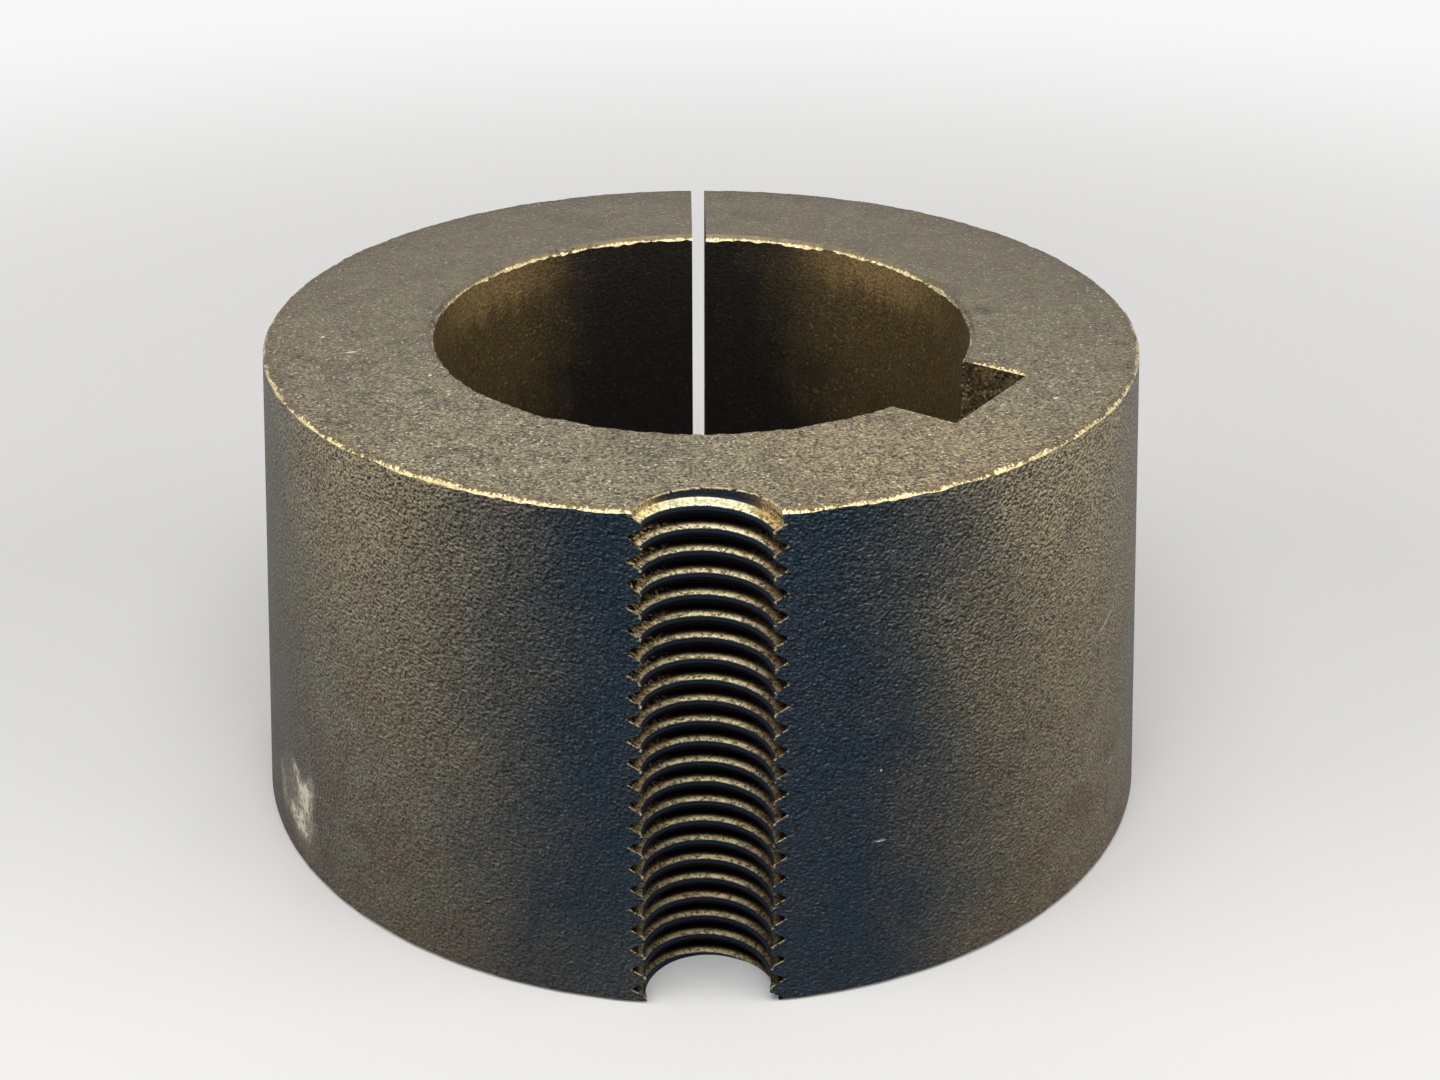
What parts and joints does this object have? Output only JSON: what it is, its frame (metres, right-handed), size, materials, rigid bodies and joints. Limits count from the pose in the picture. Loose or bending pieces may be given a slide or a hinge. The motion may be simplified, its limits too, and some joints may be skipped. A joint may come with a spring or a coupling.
{
  "type": "taper lock bushing",
  "caption": "Split tapered sleeve with a straight keyed bore and half-round screw holes in its outer face, for clamping a hub onto a shaft.",
  "frame": {"origin": "where the bore's axis meets the face of the large end, which the bushing stands on", "axes": "+Z along the bore's axis from the large end to the small end; the threaded half hole faces -Y and the saw cut faces +Y"},
  "size_m": [0.0846, 0.0853, 0.0444],
  "materials": {
    "bushing": "fine blasted grain under a dark brown phosphate coat, worn bright on the edges"
  },
  "bodies": {
    "root": {"bushing": "bushing"}
  },
  "joints": []
}
